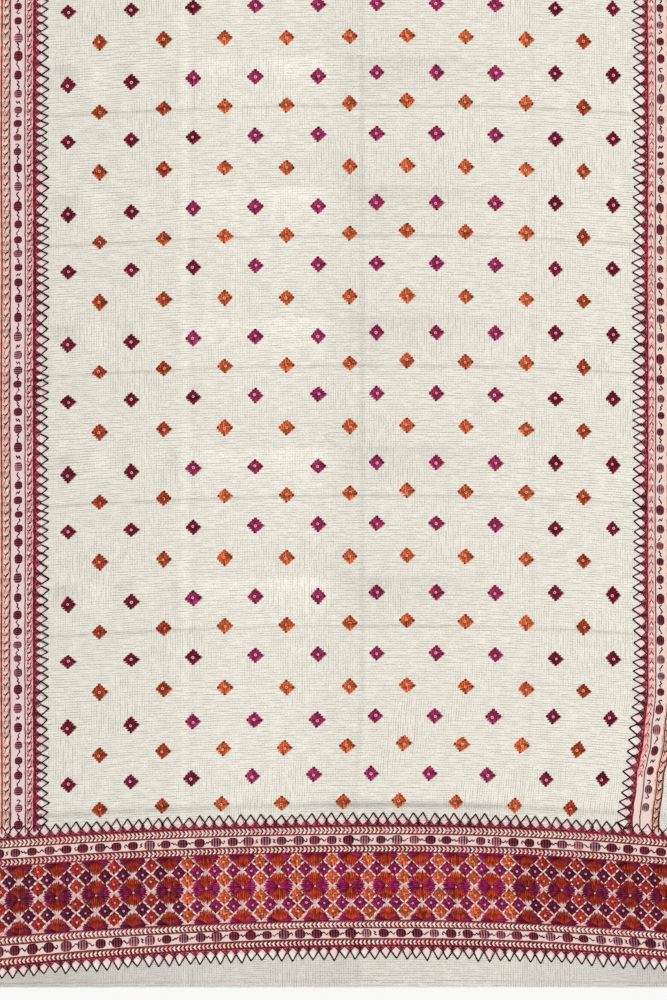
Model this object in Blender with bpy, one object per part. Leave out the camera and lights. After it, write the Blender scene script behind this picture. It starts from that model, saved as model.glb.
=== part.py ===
# A phulkari shawl laid flat: one ground cloth with raised lozenge flowers, a braid along
# each side, and across each end an inner braid, a flower band and an outer braid.
# Metres, +Z up. +Y runs along the length, and the near end is at -Y.
# Each piece is drawn on the flat cut as (u, v), then laid() moves it to where it lies.
import math

import bmesh
import bpy
from mathutils import Vector
from mathutils.geometry import delaunay_2d_cdt

# The flat cut
clothWidth = 0.976
clothLength = 2.405
halfWidth = clothWidth / 2
halfLength = clothLength / 2
clothWall = 0.0012
hemWidth = 0.009
hemRise = 0.0005
rimStep = 0.044

# What lies on the cloth
pieceGap = 0.0003
braidWall = 0.0010
seamGap = 0.0004

# Lozenge flowers: magenta rows on whole columns, orange rows on the half columns between
columnStart = -0.3784
columnPitch = 0.0885
columnDraw = 0.00042
magentaColumns = 10
firstRow = 0.2590
nearPitch = 0.0403
nearRows = 4
evenStart = 0.4165
rowPitch = 0.04545
rowSway = 0.0056
lozengeHalf = 0.0110
lozengeRise = 0.0006
# Hand placing: how far a column sits across from its even place, and along in its two
# rows of the repeat
handSet = [
    {"column": 0.0, "across": 0.0000, "along": (-0.0034, -0.0025)},
    {"column": 0.5, "across": 0.0000, "along": (0.0000, -0.0028)},
    {"column": 1.0, "across": 0.0005, "along": (-0.0034, -0.0034)},
    {"column": 1.5, "across": 0.0021, "along": (0.0014, -0.0018)},
    {"column": 2.0, "across": 0.0000, "along": (-0.0021, -0.0026)},
    {"column": 2.5, "across": 0.0008, "along": (0.0014, -0.0018)},
    {"column": 3.0, "across": 0.0005, "along": (-0.0014, -0.0032)},
    {"column": 3.5, "across": 0.0014, "along": (0.0000, -0.0028)},
    {"column": 4.0, "across": 0.0029, "along": (-0.0007, -0.0046)},
    {"column": 4.5, "across": 0.0046, "along": (0.0010, -0.0014)},
    {"column": 5.0, "across": 0.0000, "along": (0.0000, 0.0000)},
    {"column": 5.5, "across": 0.0003, "along": (0.0022, 0.0022)},
    {"column": 6.0, "across": -0.0004, "along": (0.0003, 0.0000)},
    {"column": 6.5, "across": -0.0010, "along": (0.0011, 0.0011)},
    {"column": 7.0, "across": -0.0008, "along": (-0.0003, 0.0000)},
    {"column": 7.5, "across": 0.0010, "along": (-0.0014, 0.0018)},
    {"column": 8.0, "across": 0.0011, "along": (-0.0026, 0.0019)},
    {"column": 8.5, "across": -0.0004, "along": (-0.0014, -0.0004)},
    {"column": 9.0, "across": 0.0004, "along": (0.0024, 0.0020)},
]

# Bands across each end, as distances from the hem
innerBraid = {"low": 0.1892, "high": 0.2338, "ovals": 0.2060}
flowerBand = {"low": 0.0939, "high": 0.1888, "middle": 0.1428}
outerBraid = {"low": 0.0511, "high": 0.0935, "ovals": 0.0761}
bandHalf = 0.4860
endOvals = {"pitch": 0.0238, "halfWide": 0.0064, "halfTall": 0.0062}

# Braids along the sides: the inner and outer edges of each and the line of its ovals
sideBraids = {
    "left_braid": {"inner": -0.4176, "outer": -0.4725, "ovals": -0.4488, "halfWide": 0.0054},
    "right_braid": {"inner": 0.4248, "outer": 0.4725, "ovals": 0.4510, "halfWide": 0.0048},
}
sideOvals = {"left_braid": 0.0228, "right_braid": 0.0260, "halfTall": 0.0056}

# Flower band: one repeat; each place is a share of the way to the next flower, and along
# from the flower's middle. The repeat draws a little closer towards the right.
flowerPitch = 0.05132
flowerDraw = 0.000143
flowerStart = 0.0267
flowersLeft = 9
flowersRight = 8
flowerHalf = {"wide": 0.0205, "tall": 0.0192}
halfFlowerInset = 0.0012
halfFlowerPeak = 0.004
bandMargin = 0.002
lozengeClear = 0.003
diamondHalf = 0.0084
diamondPlaces = [
    {"share": 0.500, "along": 0.0364},
    {"share": 0.500, "along": 0.0126},
    {"share": 0.500, "along": -0.0126},
    {"share": 0.500, "along": -0.0364},
    {"share": 0.253, "along": 0.0245},
    {"share": 0.747, "along": 0.0245},
    {"share": 0.253, "along": -0.0245},
    {"share": 0.747, "along": -0.0245},
]
stitchRise = 0.0005

# Soft crests left by the folds, higher in the middle of the width
crestStart = 0.5726
crestPitch = 0.1820
crestCount = 9
crestBack = 0.056
crestFront = 0.070
crestRise = 0.0026
crestUneven = 0.0005
crestAcross = [
    {"u": -0.230, "share": 0.00},
    {"u": -0.185, "share": 0.55},
    {"u": -0.115, "share": 0.70},
    {"u": -0.050, "share": 0.96},
    {"u": -0.008, "share": 1.00},
    {"u": 0.040, "share": 0.58},
    {"u": 0.100, "share": 0.34},
    {"u": 0.190, "share": 0.00},
]
crestAlong = [
    {"share": 0.00, "height": 1.00},
    {"share": 0.22, "height": 0.62},
    {"share": 0.55, "height": 0.24},
    {"share": 1.00, "height": 0.00},
]

# How far the laid cloth sags towards the near hem at its left and right edges. Each fold
# sags a little more at its valley, by foldSway.
bowMiddle = 0.0865
bowReach = {"left": 0.5485, "right": 0.3615}
bowNear = [
    {"fromHem": 0.000, "left": 0.0000, "right": 0.0000, "folds": 0.0},
    {"fromHem": 0.038, "left": 0.0265, "right": 0.0140, "folds": 0.0},
    {"fromHem": 0.060, "left": 0.0285, "right": 0.0147, "folds": 0.0},
    {"fromHem": 0.094, "left": 0.0222, "right": 0.0147, "folds": 0.0},
    {"fromHem": 0.226, "left": 0.0190, "right": 0.0150, "folds": 0.0},
    {"fromHem": 0.420, "left": 0.0165, "right": 0.0115, "folds": 1.0},
]
foldSway = {"left": 0.0056, "right": 0.0042}
foldValley = {"left": 0.5348, "right": 0.4848}
farBowShare = 0.6
farBegins = 0.1
farLength = 0.9

# How far the right edge is drawn in above the near end, and the left edge at the far end
drawFrom = -0.330
drawReach = 0.762
drawNear = [
    {"fromHem": 0.000, "draw": 0.0124},
    {"fromHem": 0.060, "draw": 0.0134},
    {"fromHem": 0.095, "draw": 0.0162},
    {"fromHem": 0.143, "draw": 0.0206},
    {"fromHem": 0.190, "draw": 0.0226},
    {"fromHem": 0.245, "draw": 0.0212},
    {"fromHem": 0.304, "draw": 0.0154},
    {"fromHem": 0.360, "draw": 0.0056},
    {"fromHem": 0.420, "draw": 0.0000},
]
farDrawShare = 0.4
edgeWave = 0.0012
edgeWavePitch = 0.364


# A value between the two rows of a table that stand either side of place, eased
def between(table, key, place, column):
    if place <= table[0][key]:
        return table[0][column]
    for low, high in zip(table, table[1:]):
        if place <= high[key]:
            share = (place - low[key]) / (high[key] - low[key])
            share = share * share * (3 - 2 * share)
            return low[column] + (high[column] - low[column]) * share
    return table[-1][column]


def bowAt(fromHem, u):
    side = "left" if u < bowMiddle else "right"
    phase = 2 * math.pi * (fromHem - foldValley[side]) / crestPitch
    depth = between(bowNear, "fromHem", fromHem, side)
    depth += between(bowNear, "fromHem", fromHem, "folds") * foldSway[side] * math.cos(phase)
    return depth * ((u - bowMiddle) / bowReach[side]) ** 2


# Where a point of the flat cut lies
def laid(u, v):
    fromNear = v + halfLength
    fromFar = halfLength - v
    farShare = min(max((v - farBegins) / farLength, 0), 1)
    farShare = farShare * farShare * (3 - 2 * farShare)
    ramp = max(0, (u - drawFrom) / drawReach)
    farRamp = max(0, (-u - drawFrom) / drawReach)
    wave = 0.5 - 0.5 * math.cos(2 * math.pi * v / edgeWavePitch)
    x = u - math.copysign(edgeWave * wave * (abs(u) / halfWidth) ** 4, u)
    x -= ramp * between(drawNear, "fromHem", fromNear, "draw")
    x += farRamp * farDrawShare * between(drawNear, "fromHem", fromFar, "draw")
    y = v - (1 - farShare) * bowAt(fromNear, u)
    y += farShare * farBowShare * bowAt(fromFar, -u)
    return x, y


# Height of the soft crests above the surface under the cloth
def crestHeight(u, v):
    fromNear = v + halfLength
    for k in range(crestCount):
        ahead = crestStart + crestPitch * k - fromNear
        if -crestBack < ahead < crestFront:
            rise = crestRise + crestUneven * math.sin(2.3 * k)
            across = between(crestAcross, "u", u, "share")
            if ahead < 0:
                return rise * across * (1 + ahead / crestBack)
            return rise * across * between(crestAlong, "share", ahead / crestFront, "height")
    return 0.0


def spread(low, high, step):
    count = max(1, round((high - low) / step))
    return [low + (high - low) * i / count for i in range(count + 1)]


# The rim of a rectangle of the cut, anticlockwise
def rimOf(left, right, low, high):
    across = spread(left, right, rimStep)
    along = spread(low, high, rimStep)
    rim = [(u, low) for u in across[:-1]]
    rim += [(right, v) for v in along[:-1]]
    rim += [(u, high) for u in reversed(across[1:])]
    rim += [(left, v) for v in reversed(along[1:])]
    return rim


# Triangles inside a rim, each point with its own raised height
def triangulated(rim, raised, links):
    places = [Vector(p) for p in rim] + [Vector(p[:2]) for p in raised]
    heights = [0.0] * len(rim) + [p[2] for p in raised]
    ring = [(i, (i + 1) % len(rim)) for i in range(len(rim))]
    found, _, faces, sources, _, _ = delaunay_2d_cdt(places, ring + links, [], 1, 1e-6)
    rises = [max([heights[i] for i in source], default=0.0) for source in sources]
    atRim = {i: k for k, source in enumerate(sources) for i in source if i < len(rim)}
    return [tuple(p) for p in found], rises, faces, [atRim[i] for i in range(len(rim))]


# One closed solid: a raised upper face, a plainer lower face and the edge between them
def solid(name, colour, rim, raised, links, lowerPoints, upperBase, lowerBase):
    upper, rises, upperFaces, upperRim = triangulated(rim, raised, links)
    lower, _, lowerFaces, lowerRim = triangulated(rim, [(u, v, 0) for u, v in lowerPoints], [])
    mesh = bmesh.new()
    upperVerts = []
    for (u, v), rise in zip(upper, rises):
        x, y = laid(u, v)
        upperVerts.append(mesh.verts.new((x, y, upperBase(u, v) + rise)))
    lowerVerts = []
    for u, v in lower:
        x, y = laid(u, v)
        lowerVerts.append(mesh.verts.new((x, y, lowerBase(u, v))))
    for face in upperFaces:
        mesh.faces.new([upperVerts[i] for i in face])
    for face in lowerFaces:
        mesh.faces.new([lowerVerts[i] for i in reversed(face)])
    for i in range(len(rim)):
        j = (i + 1) % len(rim)
        below = [lowerVerts[lowerRim[i]], lowerVerts[lowerRim[j]]]
        above = [upperVerts[upperRim[j]], upperVerts[upperRim[i]]]
        mesh.faces.new(below + above)
    bmesh.ops.recalc_face_normals(mesh, faces=mesh.faces)
    data = bpy.data.meshes.new(name)
    mesh.to_mesh(data)
    mesh.free()
    data.materials.append(material(name, colour))
    piece = bpy.data.objects.new(name, data)
    bpy.context.scene.collection.objects.link(piece)
    return piece


def material(name, colour):
    made = bpy.data.materials.new(name)
    made.use_nodes = True
    shader = made.node_tree.nodes["Principled BSDF"]
    shader.inputs["Base Color"].default_value = (*colour, 1)
    shader.inputs["Roughness"].default_value = 0.85
    shader.inputs["Metallic"].default_value = 0.0
    return made


# A raised shape: its outline's points at the piece's own height round one raised middle point
def addRaised(raised, links, firstIndex, outline, middle, rise):
    start = firstIndex + len(raised)
    raised += [(u, v, 0.0) for u, v in outline]
    links += [(start + i, start + (i + 1) % len(outline)) for i in range(len(outline))]
    raised.append((middle[0], middle[1], rise))


def diamondOutline(u, v, halfWide, halfTall):
    return [(u - halfWide, v), (u, v - halfTall), (u + halfWide, v), (u, v + halfTall)]


# Where each row of lozenge flowers crosses the cut, counted from the near hem
def rowPlaces():
    rows = [firstRow + nearPitch * i for i in range(nearRows)]
    far = clothLength - firstRow + rowSway
    j = 0
    while evenStart + rowPitch * j < far:
        sway = rowSway * math.sin(math.pi * ((3 - j) % 4) / 4)
        rows.append(evenStart + rowPitch * j + sway)
        j += 1
    return rows


# Orange flowers stand on the even rows, half a column across from the magenta ones
def lozengePlaces():
    places = []
    for index, fromHem in enumerate(rowPlaces()):
        orange = index % 2 == 0
        for k in range(magentaColumns - 1 if orange else magentaColumns):
            column = k + 0.5 if orange else k
            u = columnStart + columnPitch * column - columnDraw * column * column
            shift = handSet[round(2 * column)]
            along = shift["along"][index // 2 % 2]
            places.append((u + shift["across"], fromHem + along - halfLength))
    return places


def groundCloth():
    rim = rimOf(-halfWidth, halfWidth, -halfLength, halfLength)
    lozenges = lozengePlaces()
    crests = []
    for k in range(crestCount):
        line = crestStart + crestPitch * k - halfLength
        stops = [line + crestBack] + [line - crestFront * row["share"] for row in crestAlong]
        crests += [(row["u"], v) for row in crestAcross for v in stops]
    hems = []
    for u in spread(-halfWidth + rimStep / 2, halfWidth - rimStep / 2, rimStep):
        hems += [(u, -halfLength + hemWidth), (u, halfLength - hemWidth)]
    raised = []
    clear = lozengeHalf + lozengeClear
    for u, v in crests:
        if all(abs(u - a) + abs(v - b) > clear for a, b in lozenges):
            raised.append((u, v, 0.0))
    raised += [(u, v, 0.0) for u, v in hems]
    links = []
    for u, v in lozenges:
        outline = diamondOutline(u, v, lozengeHalf, lozengeHalf)
        addRaised(raised, links, len(rim), outline, (u, v), lozengeRise)

    def upperBase(u, v):
        fromEnd = halfLength - abs(v)
        hem = hemRise if fromEnd < hemWidth / 2 else 0.0
        return clothWall + crestHeight(u, v) + hem

    solid("ground_cloth", (0.74, 0.69, 0.60), rim, raised, links, crests, upperBase, crestHeight)


# A flat-backed piece that lies on the cloth's upper face
def layOn(name, colour, rim, raised, links):
    lowerBase = clothWall + pieceGap
    upperBase = lowerBase + braidWall
    solid(name, colour, rim, raised, links, [], lambda u, v: upperBase, lambda u, v: lowerBase)


def endRim(low, high, toward):
    near, far = sorted(toward * (edge - halfLength) for edge in (low, high))
    return rimOf(-bandHalf, bandHalf, near, far)


def endBraid(name, sizes, toward):
    rim = endRim(sizes["low"], sizes["high"], toward)
    raised = []
    links = []
    line = toward * (sizes["ovals"] - halfLength)
    count = int((bandHalf - endOvals["halfWide"]) / endOvals["pitch"])
    for i in range(-count, count + 1):
        u = i * endOvals["pitch"]
        outline = diamondOutline(u, line, endOvals["halfWide"], endOvals["halfTall"])
        addRaised(raised, links, len(rim), outline, (u, line), stitchRise)
    layOn(name, (0.42, 0.10, 0.14), rim, raised, links)


def sideBraid(name, sizes):
    end = halfLength - innerBraid["high"] - seamGap
    left, right = sorted([sizes["inner"], sizes["outer"]])
    rim = rimOf(left, right, -end, end)
    raised = []
    links = []
    count = int((end - sideOvals["halfTall"]) / sideOvals[name])
    for i in range(-count, count + 1):
        v = i * sideOvals[name]
        outline = diamondOutline(sizes["ovals"], v, sizes["halfWide"], sideOvals["halfTall"])
        addRaised(raised, links, len(rim), outline, (sizes["ovals"], v), stitchRise)
    layOn(name, (0.50, 0.16, 0.18), rim, raised, links)


def flowerPlace(i):
    return flowerStart + flowerPitch * i - flowerDraw * i * i


# Eight tips round a flower, or the five on one side of the band's edge
def flowerOutline(u, v, turns):
    outline = []
    for turn in turns:
        angle = math.pi * turn / 4
        across = flowerHalf["wide"] * math.cos(angle)
        along = flowerHalf["tall"] * math.sin(angle)
        outline.append((u + across, v + along))
    return outline


def flowerBandPiece(name, toward):
    rim = endRim(flowerBand["low"], flowerBand["high"], toward)
    raised = []
    links = []
    middle = toward * (flowerBand["middle"] - halfLength)
    edges = [toward * (flowerBand[edge] - halfLength) for edge in ("low", "high")]
    low, high = sorted(edges)
    lowLine = low + halfFlowerInset
    highLine = high - halfFlowerInset
    limit = bandHalf - bandMargin
    for i in range(-flowersLeft, flowersRight + 1):
        u = flowerPlace(i)
        whole = flowerOutline(u, middle, range(8))
        addRaised(raised, links, len(rim), whole, (u, middle), stitchRise)
        lowHalf = flowerOutline(u, lowLine, range(5))
        addRaised(raised, links, len(rim), lowHalf, (u, lowLine + halfFlowerPeak), stitchRise)
        highHalf = flowerOutline(u, highLine, range(4, 9))
        addRaised(raised, links, len(rim), highHalf, (u, highLine - halfFlowerPeak), stitchRise)
    for i in range(-flowersLeft - 1, flowersRight + 1):
        for place in diamondPlaces:
            u = flowerPlace(i + place["share"])
            v = middle + place["along"]
            if abs(u) + diamondHalf < limit:
                outline = diamondOutline(u, v, diamondHalf, diamondHalf)
                addRaised(raised, links, len(rim), outline, (u, v), stitchRise)
    layOn(name, (0.55, 0.12, 0.16), rim, raised, links)


def main():
    for old in list(bpy.data.objects):
        bpy.data.objects.remove(old, do_unlink=True)
    groundCloth()
    for end, toward in (("near", 1), ("far", -1)):
        endBraid(end + "_inner_braid", innerBraid, toward)
        flowerBandPiece(end + "_flower_band", toward)
        endBraid(end + "_outer_braid", outerBraid, toward)
    for name, sizes in sideBraids.items():
        sideBraid(name, sizes)


main()
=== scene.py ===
import math

import bmesh
import bpy
import numpy as np
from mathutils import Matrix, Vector


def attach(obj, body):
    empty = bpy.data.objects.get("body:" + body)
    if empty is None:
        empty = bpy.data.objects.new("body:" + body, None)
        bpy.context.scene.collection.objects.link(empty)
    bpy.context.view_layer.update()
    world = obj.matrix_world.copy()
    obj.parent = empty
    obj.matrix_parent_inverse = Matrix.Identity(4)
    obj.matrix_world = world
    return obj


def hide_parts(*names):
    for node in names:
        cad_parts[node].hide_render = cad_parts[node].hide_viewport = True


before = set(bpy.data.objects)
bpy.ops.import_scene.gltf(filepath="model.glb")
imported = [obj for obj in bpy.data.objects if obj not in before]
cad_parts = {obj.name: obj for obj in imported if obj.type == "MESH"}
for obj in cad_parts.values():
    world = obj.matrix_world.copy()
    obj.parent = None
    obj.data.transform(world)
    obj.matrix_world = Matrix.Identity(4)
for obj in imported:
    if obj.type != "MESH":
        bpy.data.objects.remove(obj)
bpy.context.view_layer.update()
print("stage: frame loaded")

# The flat cut is (u, v) in metres, u across and v along, and every piece is drawn on it.
# lay() then moves a point to where it lies, and surface() gives the cloth's upper face.
halfWidth = 0.488
halfLength = 1.2025
clothTop = 0.0013
lowestTop = 0.0006
softFloor = 0.0001  # how gently the face levels out above lowestTop


# A list of dictionaries, with a name for each column
def table(columns, *rows):
    return [dict(zip(columns.split(), row)) for row in rows]


laying = {
    "bowMiddle": 0.0865,  # the middle of the sag towards the near hem
    "bowReach": {"left": 0.5485, "right": 0.3615},
    "foldPitch": 0.1820,
    "foldSway": {"left": 0.0056, "right": 0.0042},
    "foldValley": {"left": 0.5348, "right": 0.4848},
    "farShare": 0.6,
    "farBegins": 0.1,
    "farLength": 0.9,
    "drawFrom": -0.330,
    "drawReach": 0.762,
    "farDraw": 0.4,
    "edgeWave": 0.0012,
    "edgeWavePitch": 0.364,
}
bowRows = table(
    "fromHem left right folds",
    (0.000, 0.0000, 0.0000, 0.0), (0.038, 0.0265, 0.0140, 0.0), (0.060, 0.0285, 0.0147, 0.0),
    (0.094, 0.0222, 0.0147, 0.0), (0.226, 0.0190, 0.0150, 0.0), (0.420, 0.0165, 0.0115, 1.0),
)
drawRows = table(
    "fromHem draw",
    (0.000, 0.0124), (0.060, 0.0134), (0.095, 0.0162), (0.143, 0.0206), (0.190, 0.0226),
    (0.245, 0.0212), (0.304, 0.0154), (0.360, 0.0056), (0.420, 0.0000),
)


def eased(share):
    share = np.clip(share, 0, 1)
    return share * share * (3 - 2 * share)


def fromRows(rows, key, place, column):
    at = np.array([row[key] for row in rows])
    value = np.array([row[column] for row in rows])
    i = np.clip(np.searchsorted(at, place) - 1, 0, len(at) - 2)
    share = eased((place - at[i]) / (at[i + 1] - at[i]))
    return value[i] + (value[i + 1] - value[i]) * share


def bowAt(fromHem, u, side):
    phase = 2 * np.pi * (fromHem - laying["foldValley"][side]) / laying["foldPitch"]
    sway = fromRows(bowRows, "fromHem", fromHem, "folds") * laying["foldSway"][side] * np.cos(phase)
    depth = fromRows(bowRows, "fromHem", fromHem, side) + sway
    return depth * ((u - laying["bowMiddle"]) / laying["bowReach"][side]) ** 2


def bow(fromHem, u):
    return np.where(u < laying["bowMiddle"], bowAt(fromHem, u, "left"), bowAt(fromHem, u, "right"))


def lay(u, v):
    fromNear = v + halfLength
    fromFar = halfLength - v
    farShare = eased((v - laying["farBegins"]) / laying["farLength"])
    ramp = np.maximum(0, (u - laying["drawFrom"]) / laying["drawReach"])
    farRamp = np.maximum(0, (-u - laying["drawFrom"]) / laying["drawReach"])
    wave = 0.5 - 0.5 * np.cos(2 * np.pi * v / laying["edgeWavePitch"])
    x = u - np.sign(u) * laying["edgeWave"] * wave * (np.abs(u) / halfWidth) ** 4
    x = x - ramp * fromRows(drawRows, "fromHem", fromNear, "draw")
    x = x + farRamp * laying["farDraw"] * fromRows(drawRows, "fromHem", fromFar, "draw")
    y = v - (1 - farShare) * bow(fromNear, u)
    y = y + farShare * laying["farShare"] * bow(fromFar, -u)
    return x, y


# Creases: soft crests between the fold lines, high in the middle of the width,
# a sharp valley on each fold line, and four creases lengthwise
crests = {
    "start": 0.5726,
    "pitch": 0.1820,
    "count": 9,
    "back": 0.056,
    "front": 0.070,
    "rise": 0.0026,
    "uneven": 0.0005,
}
crestAcross = table(
    "u share",
    (-0.230, 0.00), (-0.185, 0.55), (-0.115, 0.70), (-0.050, 0.96), (-0.008, 1.00), (0.040, 0.58),
    (0.100, 0.34), (0.190, 0.00),
)
crestAlong = table(
    "share height",
    (0.00, 1.00), (0.22, 0.62), (0.55, 0.24), (1.00, 0.00),
)
valleys = {"start": 0.5066, "pitch": 0.1820, "count": 10, "deep": 0.00085, "fall": 0.0034, "rise": 0.022}
# The fold lines beside each border are deeper in the middle
lastFolds = table(
    "fromHem deep fall rise",
    (0.2570, 0.0010, 0.0050, 0.016), (2.1480, 0.0007, 0.0045, 0.016),
)
foldStrength = table(
    "u share",
    (-0.470, 0.80), (-0.235, 0.90), (-0.200, 0.35), (-0.030, 0.50), (0.015, 1.00), (0.190, 0.85),
    (0.250, 0.45), (0.470, 0.40),
)
lengthFolds = table(
    "u deep halfWide",
    (-0.2120, -0.00030, 0.0045), (0.0285, -0.00030, 0.0032), (0.0370, 0.00030, 0.0028),
    (0.2730, 0.00022, 0.0034),
)
unevenFolds = {"valley": 0.15, "length": 0.2, "lengthPitch": 0.37}
foldSlack = 0.001  # the floor of a fold lies this far before its line
hem = {"wide": 0.009, "rise": 0.0004, "step": 0.0015}
rippleCount = 14
rippleDraw = np.random.default_rng(7)
ripples = [
    {
        "acrossWave": 2 * math.pi / rippleDraw.uniform(0.06, 0.30) * rippleDraw.choice([-1, 1]),
        "alongWave": 2 * math.pi / rippleDraw.uniform(0.05, 0.25),
        "phase": rippleDraw.uniform(0, 6.28),
        "rise": rippleDraw.uniform(0.00002, 0.00005),
    }
    for _ in range(rippleCount)
]


def bump(distance, halfWide):
    return np.exp(-0.5 * (distance / halfWide) ** 2)


# A crease falls sharply from the near side and rises slowly beyond it
def crease(beyond, fall, rise):
    near = eased(1 + beyond / fall)
    far = np.exp(-np.maximum(beyond, 0) / rise)
    return np.where(beyond < 0, near, far) * (np.abs(beyond) < 6 * rise)


def surface(u, v):
    fromHem = v + halfLength
    top = np.full(np.shape(u), clothTop)
    across = fromRows(crestAcross, "u", u, "share")
    for k in range(crests["count"]):
        ahead = crests["start"] + crests["pitch"] * k - fromHem
        rise = crests["rise"] + crests["uneven"] * math.sin(2.3 * k)
        front = fromRows(crestAlong, "share", ahead / crests["front"], "height")
        back = 1 + ahead / crests["back"]
        inside = (ahead > -crests["back"]) & (ahead < crests["front"])
        top = top + np.where(inside, rise * across * np.where(ahead < 0, back, front), 0)
    strength = fromRows(foldStrength, "u", u, "share")
    for k in range(valleys["count"]):
        beyond = fromHem - valleys["start"] - valleys["pitch"] * k
        uneven = 1 - unevenFolds["valley"] * (1 - np.sin(23.0 * u + 1.7 * k))
        top = top - valleys["deep"] * strength * uneven * crease(beyond, valleys["fall"], valleys["rise"])
    for fold in lastFolds:
        top = top - fold["deep"] * strength * crease(fromHem - fold["fromHem"], fold["fall"], fold["rise"])
    for fold in lengthFolds:
        wave = np.sin(2 * np.pi * v / unevenFolds["lengthPitch"] + 40 * fold["u"])
        uneven = 1 - unevenFolds["length"] * (1 - wave)
        top = top - fold["deep"] * uneven * bump(u - fold["u"], fold["halfWide"])
    for wave in ripples:
        top = top + wave["rise"] * np.sin(wave["acrossWave"] * u + wave["alongWave"] * v + wave["phase"])
    fromEnd = halfLength - np.abs(v)
    top = top + hem["rise"] * eased((hem["wide"] - fromEnd) / hem["step"] + 0.5)
    low = lowestTop - top
    return top + softFloor * np.log1p(np.exp(np.clip(low / softFloor, -40, 40)))


# Painted light and shade beside each crest, where the folds tilt the cloth to or from the lamp:
# one repeat, each patch at its sharpest on the crest line and gone after its reach towards the near hem
crestLightShade = table(
    "u halfWide reach tone",
    (-0.384, 0.011, 0.026, -0.150), (-0.334, 0.008, 0.050, 0.120), (-0.300, 0.010, 0.034, -0.070),
    (-0.268, 0.013, 0.026, 0.060), (-0.230, 0.005, 0.066, -0.110), (-0.172, 0.018, 0.030, 0.065),
    (-0.076, 0.016, 0.034, 0.085), (-0.040, 0.016, 0.046, 0.070), (0.010, 0.010, 0.060, -0.040),
    (0.046, 0.018, 0.080, -0.115), (0.086, 0.020, 0.066, -0.060), (0.130, 0.026, 0.060, -0.075),
    (0.184, 0.022, 0.050, -0.040),
)
# Painted light and shade across the width: darker towards both sides, painted shade along each lengthwise
# crease and a painted lit strip beside the first
acrossLightShade = table(
    "u tone",
    (-0.470, -0.080), (-0.400, -0.062), (-0.240, -0.036), (-0.222, -0.014), (-0.2140, 0.024),
    (-0.2090, 0.020), (-0.2030, -0.050), (-0.1930, -0.004), (-0.130, 0.012), (-0.040, 0.012),
    (-0.010, -0.016), (0.026, -0.040), (0.0345, -0.055), (0.0420, -0.008), (0.2690, 0.008),
    (0.2730, -0.050), (0.2770, 0.004), (0.400, 0.016), (0.470, -0.030),
)
# Painted shade in the fold beside the border, and darker below it
lastFoldShade = table(
    "u tone",
    (-0.470, -0.120), (-0.060, -0.120), (-0.010, -0.200), (0.020, -0.300), (0.220, -0.270),
    (0.270, -0.110), (0.470, -0.090),
)
# Darker near each end
endDarkening = table(
    "u tone",
    (-0.480, -0.200), (-0.240, -0.150), (0.000, -0.140), (0.050, -0.085), (0.260, -0.085),
    (0.290, -0.130), (0.480, -0.190),
)
toneEdges = {
    "crest": 0.004,
    "foldShade": 0.0030,
    "margin": 0.075,
    "marginFade": 0.03,
    "border": 0.262,
    "borderFade": 0.008,
    "borderTone": -0.03,
}


# Painted light and shade of the folds and creases, and darker near each end, as a tone at each point of
# the cloth
def clothShadeAndTone(u, fromHem):
    tone = 1 + fromRows(acrossLightShade, "u", u, "tone")
    for k in range(crests["count"]):
        ahead = crests["start"] + crests["pitch"] * k - fromHem
        for patch in crestLightShade:
            fade = np.clip(1 - ahead / patch["reach"], 0, 1) * eased(1 + ahead / toneEdges["crest"])
            tone = tone + patch["tone"] * fade * bump(u - patch["u"], patch["halfWide"])
    # Painted shade in the fold line beside each border
    foldShade = fromRows(lastFoldShade, "u", u, "tone")
    for fold in lastFolds:
        tone = tone + foldShade * bump(fromHem - fold["fromHem"] + foldSlack, toneEdges["foldShade"])
    fromEnd = np.minimum(fromHem, 2 * halfLength - fromHem)
    margin = fromRows(endDarkening, "u", u, "tone")
    tone = tone + margin * eased((toneEdges["margin"] - fromEnd) / toneEdges["marginFade"])
    return tone + toneEdges["borderTone"] * eased((toneEdges["border"] - fromEnd) / toneEdges["borderFade"])


# Colours are written as the eye sees them and turned to light
def dye(code):
    parts = [int(code[i : i + 2], 16) / 255 for i in (1, 3, 5)]
    return np.array([p / 12.92 if p <= 0.04045 else ((p + 0.055) / 1.055) ** 2.4 for p in parts])


def blendDye(one, other, share):
    share = min(1, max(0, share))
    return dye(one) * (1 - share) + dye(other) * share


# A value that drifts from 0 to 1 and back along a piece, as dye lots and tension do
def drifting(draw, low, high, step):
    knots = np.arange(low, high + 2 * step, step)
    values = draw.uniform(0, 1, len(knots))
    return lambda place: float(np.interp(place, knots, values))


# Node helpers
def newMaterial(name):
    made = bpy.data.materials.new(name)
    made.use_nodes = True
    return made, made.node_tree, made.node_tree.nodes["Principled BSDF"]


def setShader(shader, roughness, shine=0.5, sheen=0.0):
    shader.inputs["Roughness"].default_value = roughness
    shader.inputs["Specular IOR Level"].default_value = shine
    shader.inputs["Sheen Weight"].default_value = sheen


def feed(tree, socket, value):
    if isinstance(value, (int, float)):
        socket.default_value = value
    elif isinstance(value, np.ndarray):
        socket.default_value = (*value, 1)
    else:
        tree.links.new(value, socket)


def uvOf(tree, name):
    node = tree.nodes.new("ShaderNodeUVMap")
    node.uv_map = name
    return node.outputs["UV"]


def attributeOf(tree, name, output):
    node = tree.nodes.new("ShaderNodeAttribute")
    node.attribute_name = name
    return node.outputs[output]


def mathNode(tree, operation, first, second=0.0, clamp=False):
    node = tree.nodes.new("ShaderNodeMath")
    node.operation = operation
    node.use_clamp = clamp
    feed(tree, node.inputs[0], first)
    feed(tree, node.inputs[1], second)
    return node.outputs[0]


def times(tree, first, second):
    return mathNode(tree, "MULTIPLY", first, second)


# How far a value is from a line, on either side
def offLine(tree, value, line):
    return mathNode(tree, "ABSOLUTE", mathNode(tree, "SUBTRACT", value, line))


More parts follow.
